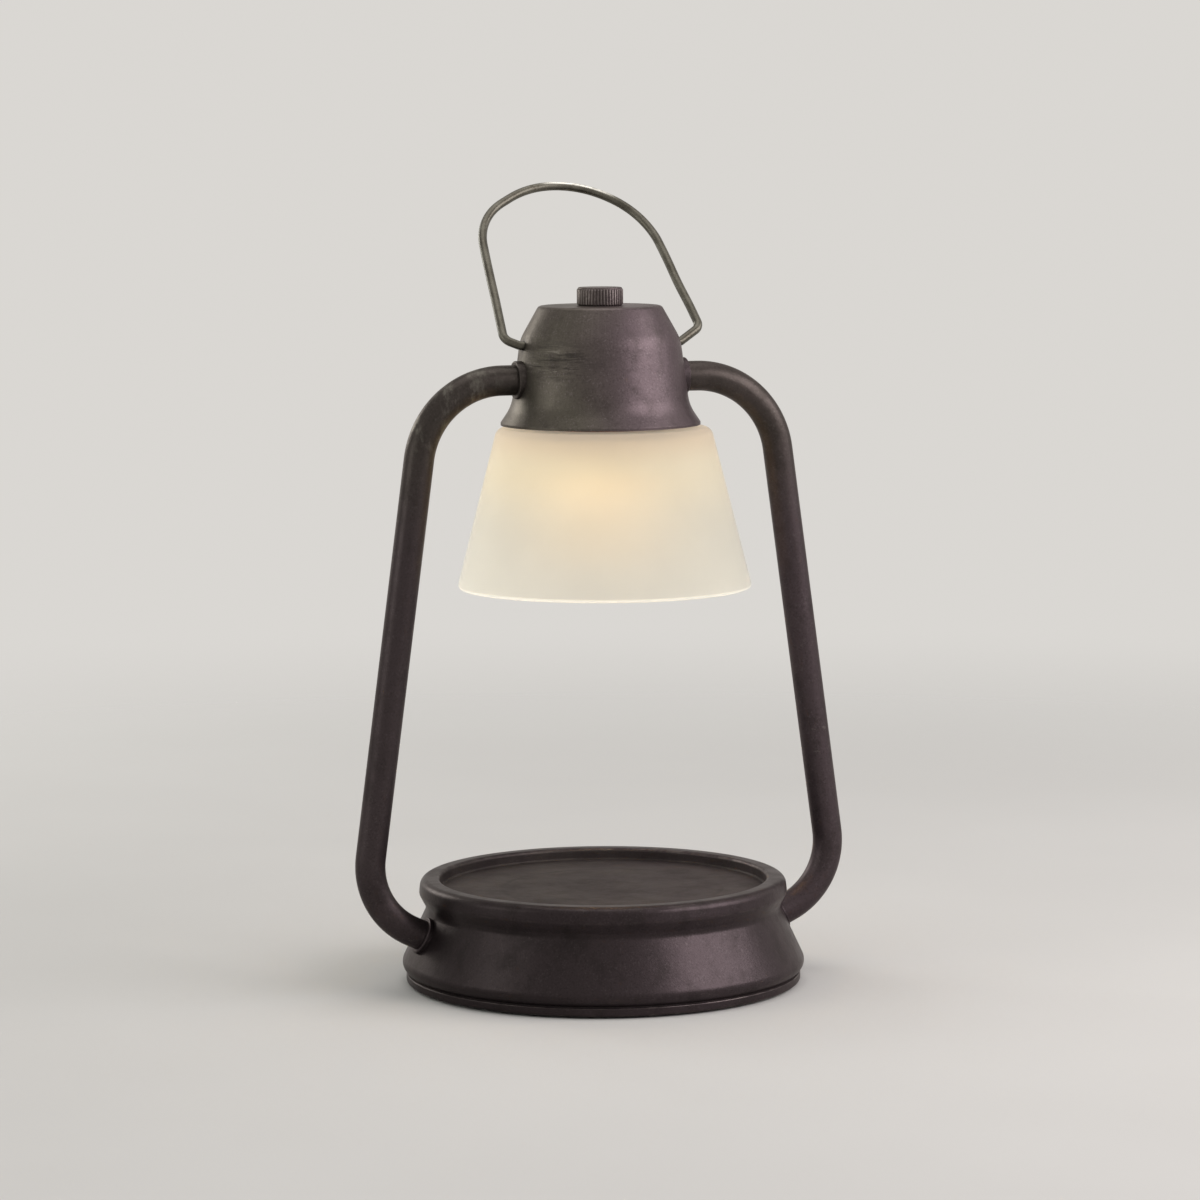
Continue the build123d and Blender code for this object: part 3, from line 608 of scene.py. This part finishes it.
def frosted_glass():
    """Acid-frosted cream glass with a painted glow of the bulb, brighter at its lip and weaker on the right,
    and a painted tan shade under the cap.
    """
    cream, pale, tan = (0.63, 0.61, 0.55), (0.67, 0.65, 0.585), (0.64, 0.555, 0.46)
    light, glow_light = (1.0, 0.955, 0.87), (1.0, 0.84, 0.58)
    low, high, glow_height = (z * MM for z in (shade_low.z, shade_high.z, bulb_neck_z + 4.0))
    under_cap_shade_reach = glow_reach = 0.014
    f = Finish(
        "frosted_glass",
        IOR=1.45,
        Transmission_Weight=0.84,
        Specular_IOR_Level=0.08,
        Sheen_Weight=0.2,
        Sheen_Roughness=0.3,
    )
    clouds, fine, height = f.noise(26), f.noise(1500, 2), f.height()
    colour = f.mix(f.level(clouds, 0.35, 0.65), cream, pale)
    # painted shade under the cap: tan towards the top
    colour = f.mix(f.level(height, high - under_cap_shade_reach, high), colour, tan)
    # painted glow of the bulb: a little stronger towards the mouth and strongest in a band at the bulb's neck
    away = f.maths("DIVIDE", f.minus(height, glow_height), glow_reach)
    glow = f.maths("POWER", 2.0, f.times(f.times(away, away), -1.0))
    strength = f.plus(f.level(height, low + 0.034, low, 0.137, 0.155), f.times(glow, 0.045))
    # painted shade on the right and painted light on the left of the glow
    strength = f.times(strength, f.level(f.across(), -0.045, 0.045, 1.2, 0.83))
    # painted glow at the lip
    strength = f.plus(strength, f.times(f.level(f.edge(), 0.1, 1.0), 0.2))
    f.set("Emission Color", f.mix(glow, light, glow_light))
    f.set("Emission Strength", strength)
    return f.done(colour, f.level(clouds, 0.3, 0.7, 0.76, 0.84), f.bump(fine, 0.00004, 0.4))


def lit_reflector():
    """The bulb's thin silvered coat, which lets warm light through most at its neck."""
    silver, stained = (0.74, 0.72, 0.68), (0.66, 0.60, 0.52)
    amber, straw = (1.0, 0.64, 0.30), (1.0, 0.72, 0.40)
    neck = bulb_neck_z * MM
    f = Finish("reflector_coat", Metallic=0.8)
    clouds = f.noise(120)
    f.set("Emission Color", f.mix(f.level(clouds, 0.3, 0.7), amber, straw))
    f.set("Emission Strength", f.level(f.height(), neck - 0.018, neck - 0.001, 0.52, 1.65))
    return f.done(f.mix(f.level(clouds, 0.35, 0.68), silver, stained), 0.3, f.bump(clouds, 0.0001, 0.3))


def lit_capsule():
    """The bulb's glowing filament capsule, with slightly clouded brightness."""
    glow, strength = (1.0, 0.74, 0.40, 1), 20.0
    f = Finish("lit_capsule")
    f.set("Base Color", glow)
    f.set("Emission Color", glow)
    f.set("Emission Strength", f.level(f.noise(220, 2), 0.3, 0.7, 0.85 * strength, strength))
    return f.material


def clear_glass():
    """The bulb's front lens, slightly wavy."""
    f = Finish("clear_glass", IOR=1.5, Transmission_Weight=0.9)
    waves = f.noise(90, 2)
    return f.done((0.96, 0.97, 0.97, 1), f.level(waves, 0.3, 0.7, 0.03, 0.1), f.bump(waves, 0.0004, 0.3))


# The coat's copies differ in tone as painted light and shade: the base and its collars are dark copies, a
# painted shade, the tubes lie between, and the cap, the knob and the cap's collars are lighter copies, a
# painted light. Their tint shares set how far the painted olive tint of the left side reaches on each.
base_coat = bronze_coat("bronze_coat_base", tone=0.38, painted_left_tint=0.1, matt=0.33, details=base_details)
cap_coat = bronze_coat("bronze_coat_cap", tone=1.0, painted_left_tint=1.0, matt=0.37, details=cap_details)
tube_coat = bronze_coat("bronze_coat_tubes", tone=0.54, painted_left_tint=0.15, matt=0.35, details=tube_details)
knob_coat = bronze_coat("bronze_coat_knob", tone=1.0, painted_left_tint=0.8, matt=0.37, details=knob_details)
cap_collar_coat = bronze_coat("bronze_coat_cap_collars", tone=0.65, painted_left_tint=0.7, matt=0.37)
base_collar_coat = bronze_coat("bronze_coat_base_collars", tone=0.38, painted_left_tint=0.1, matt=0.36)
bail_coat = worn_bronze()
zinc = metal("zinc_steel", (0.50, 0.51, 0.53), (0.62, 0.62, 0.60), 0.34)
fixings = metal("steel_fixings", (0.42, 0.43, 0.45), (0.56, 0.56, 0.56), 0.3, patch=180)
brass = metal("brass_fittings", (0.62, 0.45, 0.19), (0.50, 0.35, 0.14), 0.3, patch=140)
iron = moulded("cast_weight", (0.065, 0.065, 0.066), (0.10, 0.097, 0.092), 0.7, grain=420, bump=0.0003)
rubber = moulded("foot_rubber", (0.016, 0.016, 0.016), (0.028, 0.027, 0.026), 0.75)
black_nylon = moulded("black_nylon", (0.018, 0.018, 0.018), (0.030, 0.029, 0.029), 0.45)
white_nylon = moulded("white_nylon", (0.74, 0.73, 0.69), (0.66, 0.64, 0.58), 0.42)
sheath = moulded("lead_sheath", (0.80, 0.79, 0.75), (0.70, 0.68, 0.62), 0.5, grain=1500)
fibre = moulded("fibre_washer", (0.26, 0.085, 0.05), (0.18, 0.06, 0.04), 0.7)
steatite = moulded("porcelain", (0.80, 0.78, 0.73), (0.72, 0.69, 0.63), 0.55)
clear = clear_glass()
shade_glass = frosted_glass()
reflector = lit_reflector()
capsule_glow = lit_capsule()


# ---------------------------------------------------------------- base
def base_form():
    """The spun base: rolled bead, groove, bulge, cone, necked rim and shallow tray."""
    neck_radius, neck_drop = 69.4, 11.6
    bulge_radius, bulge_height = 80.1, 7.1
    groove_radius, bead_radius, bead_width, bead_height = 76.9, 77.6, 2.0, 3.4
    groove_round, bulge_round, neck_round = 0.8, 4.2, 3.5
    rim_under_round, rim_top_round, tray_edge_round, tray_round = 3.0, 3.2, 1.5, 1.0
    bead_round, bead_top_round, bead_inner_round, lip_round = 0.9, 0.6, 0.4, 0.2
    lip_width = 10.0
    bottom, top, bead_top = base_low.z, base_high.z, base_low.z + bead_height
    bead_inside = bead_radius - bead_width
    lip_radius = bead_inside - lip_width
    outside = [
        (groove_radius, bead_top),
        (groove_radius, bead_top + sheet_wall / 2),
        (bulge_radius, bulge_height),
        (neck_radius, top - neck_drop),
        (rim_radius, top - rim_drop),
        (rim_radius - rim_lean, top),
        (tray_radius, top),
        (tray_radius, tray_z),
        (0, tray_z),
    ]
    rounds = [0, groove_round, bulge_round, neck_round, rim_under_round, rim_top_round, tray_edge_round]
    shell, shell_marks = sheet_outline(outside, [*rounds, tray_round, 0], sheet_wall)
    foot = [
        (lip_radius, bead_top),
        (lip_radius, bead_top - sheet_wall),
        (bead_inside, bead_top - sheet_wall),
        (bead_inside, bottom),
        (bead_radius, bottom),
        (bead_radius, bead_top),
        (groove_radius, bead_top),
    ]
    foot_rounds = [0, lip_round, bead_inner_round, bead_round, bead_round, bead_top_round, 0]
    bead, bead_marks = rounded(foot, foot_rounds)
    return turned(bead[:-1] + shell, bead_marks[:-1] + shell_marks, segments=256)


base = piece("base_shell_spun", [base_form()], base_coat, "lamp_frame", "bronze_coat", "base_shell")
entry_drill = drill(tube_radius + tube_gap, -12, 12, segments=96)
inlet_drill = drill(inlet_radius + inlet_gap, 60, 90, segments=64)
cut(
    base,
    [
        entry_drill.moved(facing(entry_place, entry_out)),
        entry_drill.moved(facing(mirrored(entry_place), mirrored(entry_out))),
        inlet_drill.moved(facing((0, 0, inlet_z), (0, 1, 0))),
    ],
)


# ---------------------------------------------------------------- cap
def cap_form():
    """The spun cap: flange, waist, cone, round shoulder and flat crown with the stem's hole."""
    flange_radius, waist_radius, waist_rise = 38.9, 34.6, 7.4
    shoulder_radius, shoulder_rise = 31.2, 33.2
    crown_radius, stem_hole = 23.9, 5.1
    flange_round, waist_round, shoulder_round, crown_round = 0.3, 16.0, 16.0, 2.0
    outside = [
        (flange_radius, cap_low.z),
        (flange_radius, cap_low.z + sheet_wall),
        (waist_radius, cap_low.z + waist_rise),
        (shoulder_radius, cap_low.z + shoulder_rise),
        (crown_radius, cap_high.z),
        (stem_hole, cap_high.z),
    ]
    rounds = [0, flange_round, waist_round, shoulder_round, crown_round, 0]
    outline, marks = sheet_outline(outside, rounds, sheet_wall)
    return turned(outline, marks, segments=224)


cap = piece("cap_shell_spun", [cap_form()], cap_coat, "lamp_frame", "bronze_coat", "cap_shell")
wire_drill = drill(wire_radius + wire_gap, 22, 40, segments=48)
head_drill = drill(tube_radius + tube_gap, 22, 44, segments=96)
cut(
    cap,
    [
        form.moved(facing((0, 0, height), (side, 0, 0)))
        for form, height in ((wire_drill, bail_z), (head_drill, cap_tube_z))
        for side in (1, -1)
    ],
)


# ---------------------------------------------------------------- side tubes
def tube_form():
    """The right tube: out of the skirt, up the side in a lean and back into the cap."""
    foot_depth, head_reach = 8.6, 24.6
    hip, hip_round = (97.401, 33.157), 28.90
    shoulder, shoulder_round = (69.60, cap_tube_z), 34.0
    foot = entry_place - entry_out * foot_depth
    corners = [(foot.x, foot.z), hip, shoulder, (head_reach, cap_tube_z)]
    line, _ = rounded(corners, [0, hip_round, shoulder_round, 0], step=math.radians(2.5))
    path = [Vector((x, 0, z)) for x, z in line]
    return swept(path, Vector((0, 1, 0)), tube_radius - skin, sides=72, bore=tube_bore)


right_form = tube_form()
piece("right_tube_bent", [right_form], tube_coat, "lamp_frame", "bronze_coat", "right_tube")
piece("left_tube_bent", [flipped(right_form)], tube_coat, "lamp_frame", "bronze_coat", "left_tube")


# ---------------------------------------------------------------- bail
def bail_form():
    """The wire bail, bent by hand: hooked feet, straight legs and a shallow crown, leaning to the back."""
    lean = math.radians(42.0)
    end, knee, crown = 25.96, 32.56, (-0.7, 88.1)
    left_foot, left_corner = (-38.46, 3.3), (-36.06, 65.0)
    right_foot, right_corner = (42.86, 7.6), (33.76, 66.6)
    knee_round, foot_round, left_round, crown_round, right_round = 4.0, 4.5, 27.5, 37.5, 34.6
    straight_height, settling_height = 4, 20
    wobble_size, wobble_length, bow_size, bow_length = 0.35, 17, 0.25, 23
    left = [(-end, 0), (-knee, 0), left_foot, left_corner]
    line = [*left, crown, right_corner, right_foot, (knee, 0), (end, 0)]
    rounds = [0, knee_round, foot_round, left_round, crown_round, right_round, foot_round, knee_round, 0]
    bent, _ = rounded(line, rounds, step=math.radians(3))
    out_of_plane = Vector((0, -math.cos(lean), math.sin(lean)))
    path = []
    for u, v in along(bent, 1.5):
        free = min(1.0, max(0.0, v - straight_height) / settling_height)
        wobble = wobble_size * free * noise.noise(Vector((u, v, 0)) / wobble_length)
        bow = bow_size * free * noise.noise(Vector((u, v, 40)) / bow_length)
        flat = Vector((u + wobble, v * math.sin(lean), bail_z + v * math.cos(lean)))
        path.append(flat + out_of_plane * bow)

    def rubbed(point, spoke):
        """Bare metal along the top of the crown, where it hangs on a hook, with a painted highlight on the
        wire's upper side.
        """
        centre, half_length = 8, 16
        rise = (point.z - bail_z) / math.cos(lean) / crown[1]
        share = max(0.0, 1 - (abs(point.x - centre) / half_length) ** 3)
        return max(0.0, spoke.z - 0.3) * 1.2 * (share if rise > 0.8 else 0.0)

    return swept(path, out_of_plane, wire_radius - skin, sides=32, mark=rubbed)


piece("bail_wire", [bail_form()], bail_coat, "bail", "worn_bronze", "bail")


# ---------------------------------------------------------------- knob
def knob_form():
    """The straight-ribbed knob, blind from above."""
    rib_width, rib_slope, edge_round, roof, bore = 0.62, 0.24, 0.5, 1.4, 5.05
    foot_inset, foot_rise, rib_start = 0.15, 0.2, 0.55
    rib_end, rib_fall, rib_foot, half_fall = 0.95, 0.68, 0.5, 0.55
    steps_per_rib = 12
    core = knob_radius - rib_height
    top, bottom = knob_high.z, knob_low.z
    crown, _ = rounded([(core, bottom + 1), (core, top), (0, top)], [0, edge_round, 0], step=math.radians(15))

    def outline(angle):
        pitch = math.tau * core / rib_count
        away = abs((angle * rib_count / math.tau) % 1 - 0.5) * pitch
        rise = rib_height * min(1.0, max(0.0, (rib_width / 2 + rib_slope / 2 - away) / rib_slope))
        points = [(bore, bottom), (core - foot_inset, bottom), (core, bottom + foot_rise)]
        points += [(core + rise, bottom + rib_start), (core + rise, top - rib_end)]
        points += [(core + rise * half_fall, top - rib_fall), (core, top - rib_foot)]
        points += [tuple(point) for point in crown[1:]]
        return points + [(0, top - roof), (bore, top - roof)]

    return turned(outline, segments=rib_count * steps_per_rib)


piece("top_knob_ribbed", [knob_form()], knob_coat, "top_knob", "bronze_coat", "top_knob")


# ---------------------------------------------------------------- shade
def shade_form():
    """The blown shade: a plain cone with a rounded shoulder, a ground lip and a hole for the ring."""
    wall, top_radius, mouth_radius, hole = 3.0, 41.7, 57.6, 22.0
    shoulder_round, lip_round, hole_round, lip_height = 3.6, 1.3, 0.6, 2
    low, high = shade_low.z, shade_high.z
    inner = inset([(mouth_radius, low), (top_radius, high), (hole, high)], wall)
    slope = (mouth_radius - top_radius) / (high - low)
    inner_mouth = (inner[0].x + (inner[0].y - low) * slope, low)
    middle = ((mouth_radius + inner_mouth[0]) / 2, low)
    line = [middle, (mouth_radius, low), (top_radius, high), (hole, high), (hole, high - wall)]
    line += [tuple(inner[1]), inner_mouth, middle]
    rounds = [0, lip_round, shoulder_round, hole_round, hole_round, shoulder_round - wall, lip_round, 0]
    outline, marks = rounded(line, rounds, step=math.radians(9))
    lip_marks = [mark if height < low + lip_height else 0.0 for mark, (_, height) in zip(marks, outline)]
    form = turned(outline[:-1], lip_marks[:-1], segments=192)
    return form.moved(Matrix.Translation(((shade_low.x + shade_high.x) / 2, 0, 0)))


piece("glass_shade_blown", [shade_form()], shade_glass, "lamp_frame", "frosted_glass", "glass_shade")


# ---------------------------------------------------------------- bulb
def reflector_form():
    """The bulb's bell, smooth outside and faceted inside."""
    wall, facets, rows, points_per_row, depth = 1.2, 28, 7, 4, 0.3
    neck, middle, foot = (12.0, bulb_neck_z), (20.9, 185.1), (25.0, 168.5)
    inward, down = 0.92, 0.38  # the direction square to the bell at its middle
    inner_middle = (middle[0] - wall * inward, middle[1] - wall * down)
    outer = arc(foot, middle, neck, 20)
    inner = arc((neck[0] - wall, neck[1]), inner_middle, (foot[0] - wall, foot[1]), rows * points_per_row)

    def outline(angle):
        points = [(foot[0] - wall, bulb_front_z), (foot[0], bulb_front_z), (foot[0], foot[1] - 0.3)]
        points += [tuple(point) for point in outer]
        for i, (radius, height) in enumerate(inner):
            row, step = divmod(i, points_per_row)
            swell = math.sin(math.pi * step / points_per_row)
            cushion = swell * (0.5 + 0.5 * math.cos(facets * angle + math.pi * row))
            points.append((radius - depth * cushion, height))
        return points

    return turned(outline, segments=facets * 8)


piece("bulb_reflector_bell", [reflector_form()], reflector, "bulb", "reflector_coat", "bulb_reflector")


# ---------------------------------------------------------------- feet
def foot_forms():
    """Four moulded rubber feet, each with a shallow hollow in its sole."""
    count, circle_radius = 4, 62.0
    radius, hollow_radius, hollow_edge, hollow_depth = 6.0, 3.0, 3.5, 0.3
    hollow_round, edge_round, sole_round, top_round = 0.2, 0.3, 0.7, 0.15
    low, high = foot_low.z, foot_high.z
    line = [(0, low + hollow_depth), (hollow_radius, low + hollow_depth), (hollow_edge, low)]
    line += [(radius, low), (radius, high), (0, high)]
    outline, marks = rounded(line, [0, hollow_round, edge_round, sole_round, top_round, 0])
    foot = turned(outline, marks, segments=64)
    return [foot.moved(place) for place in around(count, circle_radius, math.pi / 4)]


piece("foot_pads_moulded", foot_forms(), rubber, "lamp_frame", "foot_rubber", "foot_pads")


# ---------------------------------------------------------------- CAD nodes that are shown as they are
for finish, *nodes in (
    (base_collar_coat, "base_collar_left", "base_collar_right"),
    (cap_collar_coat, "cap_collar_left", "cap_collar_right"),
    (zinc, "bottom_plate", "shade_carrier", "holder_bracket", "shade_ring"),
    (fixings, "base_tube_nuts", "cap_tube_nuts", "base_tube_seats", "cap_tube_seats"),
    (fixings, "plate_screws", "weight_screws", "holder_screws", "bail_clips"),
    (brass, "stem", "stem_nuts", "terminal_screws", "bulb_pins"),
    (iron, "base_weight"),
    (black_nylon, "inlet_bushing", "lead_grommet"),
    (white_nylon, "terminal_block"),
    (sheath, "lamp_lead"),
    (fibre, "shade_washers"),
    (steatite, "lampholder", "bulb_base"),
    (clear, "bulb_lens"),
    (capsule_glow, "bulb_capsule"),
):
    for node in nodes:
        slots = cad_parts[node].material_slots
        if not slots:
            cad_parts[node].data.materials.append(finish)
        for material_slot in slots:
            material_slot.material = finish


# ---------------------------------------------------------------- camera, floor and light, in metres
def add_camera():
    """The camera stands 1.7 m away, 18.5 degrees to the left of the front, and looks slightly down."""
    heading, yaw, pitch, roll = (math.radians(a) for a in (18.5, -0.02, 6.36, -0.30))
    distance, height = 1.7, 0.340
    data = bpy.data.cameras.new("camera")
    data.sensor_width = 36.0
    data.lens = 131.3
    data.clip_start, data.clip_end = 0.05, 60.0
    camera = show("camera", data)
    camera.location = (-distance * math.sin(heading), -distance * math.cos(heading), height)
    turn = Matrix.Rotation(-(heading + yaw), 4, "Z") @ Matrix.Rotation(math.pi / 2 - pitch, 4, "X")
    camera.rotation_euler = (turn @ Matrix.Rotation(roll, 4, "Z")).to_euler()
    bpy.context.scene.camera = camera


def add_floor():
    """A pale round floor that fades into the pale world at its far edge."""
    near, far, sides = 0.3, 1.2, 96
    f = Finish("floor_paper", Specular_IOR_Level=0.1)
    colour = f.mix(f.level(f.noise(3), 0.35, 0.65), (0.66, 0.64, 0.61), (0.68, 0.66, 0.63))
    f.done(colour, 0.9, f.bump(f.noise(700, 2), 0.0001, 0.3))
    distance = f.vector("LENGTH", {0: f.place}, "Value")
    clear_shader = f.add("ShaderNodeBsdfTransparent").outputs[0]
    shaders = {0: f.level(distance, near, far), 1: f.shader.outputs[0], 2: clear_shader}
    blend = f.add("ShaderNodeMixShader", shaders).outputs[0]
    f.tree.links.new(blend, f.tree.nodes["Material Output"].inputs[0])
    angles = [math.tau * i / sides for i in range(sides)]
    rim = [Vector((far * math.cos(angle), far * math.sin(angle), 0)) / MM for angle in angles]
    faces = [(0, 1 + i, 1 + (i + 1) % sides) for i in range(sides)]
    floor = write_mesh("floor", [Form([Vector((0, 0, 0))] + rim, faces, [0.0] * (sides + 1))])
    floor.data.materials.append(f.material)


def add_light(name, place, target, size, watts, colour):
    """A soft rectangular lamp that looks at a target and isn't seen itself."""
    data = bpy.data.lights.new(name, "AREA")
    data.shape = "RECTANGLE"
    data.size, data.size_y = size
    data.energy = watts
    data.color = colour
    lamp = show(name, data)
    lamp.location = place
    lamp.visible_camera = False
    lamp.rotation_euler = (Vector(target) - Vector(place)).to_track_quat("-Z", "Y").to_euler()


def add_world():
    """A pale world: plain light, and a pale background for the camera, reflections and glass."""
    world = bpy.data.worlds.new("world")
    bpy.context.scene.world = world
    world.use_nodes = True
    tree = world.node_tree
    tree.nodes.clear()
    path = tree.nodes.new("ShaderNodeLightPath")
    light, shown = tree.nodes.new("ShaderNodeBackground"), tree.nodes.new("ShaderNodeBackground")
    light.inputs["Color"].default_value = (0.95, 0.97, 1.0, 1)
    light.inputs["Strength"].default_value = 0.3
    shown.inputs["Color"].default_value = (0.70, 0.68, 0.65, 1)
    shown.inputs["Strength"].default_value = 1.0
    seen = path.outputs["Is Camera Ray"]
    for ray in ("Is Glossy Ray", "Is Transmission Ray"):
        either = tree.nodes.new("ShaderNodeMath")
        either.operation = "MAXIMUM"
        tree.links.new(seen, either.inputs[0])
        tree.links.new(path.outputs[ray], either.inputs[1])
        seen = either.outputs[0]
    blend = tree.nodes.new("ShaderNodeMixShader")
    tree.links.new(seen, blend.inputs[0])
    tree.links.new(light.outputs[0], blend.inputs[1])
    tree.links.new(shown.outputs[0], blend.inputs[2])
    output = tree.nodes.new("ShaderNodeOutputWorld")
    tree.links.new(blend.outputs[0], output.inputs["Surface"])


add_camera()
add_floor()
lamp_middle, shade_middle, handle_middle = (0, 0, 0.15), (0, 0, 0.16), (0, 0, 0.26)
add_light("key", (0.94, -0.66, 0.72), shade_middle, (1.3, 0.8), 13.0, (1.0, 0.96, 0.975))
add_light("left", (-1.1, -0.1, 0.45), handle_middle, (0.6, 0.6), 1.8, (0.97, 1.0, 0.94))
add_light("rim", (-0.62, 1.15, 0.55), lamp_middle, (0.5, 0.5), 4.0, (0.99, 1.0, 0.95))
add_light("top", (0.0, 0.1, 1.8), lamp_middle, (1.5, 1.5), 10, (1.0, 0.99, 0.97))
add_world()

bpy.context.scene.view_settings.view_transform = "Standard"
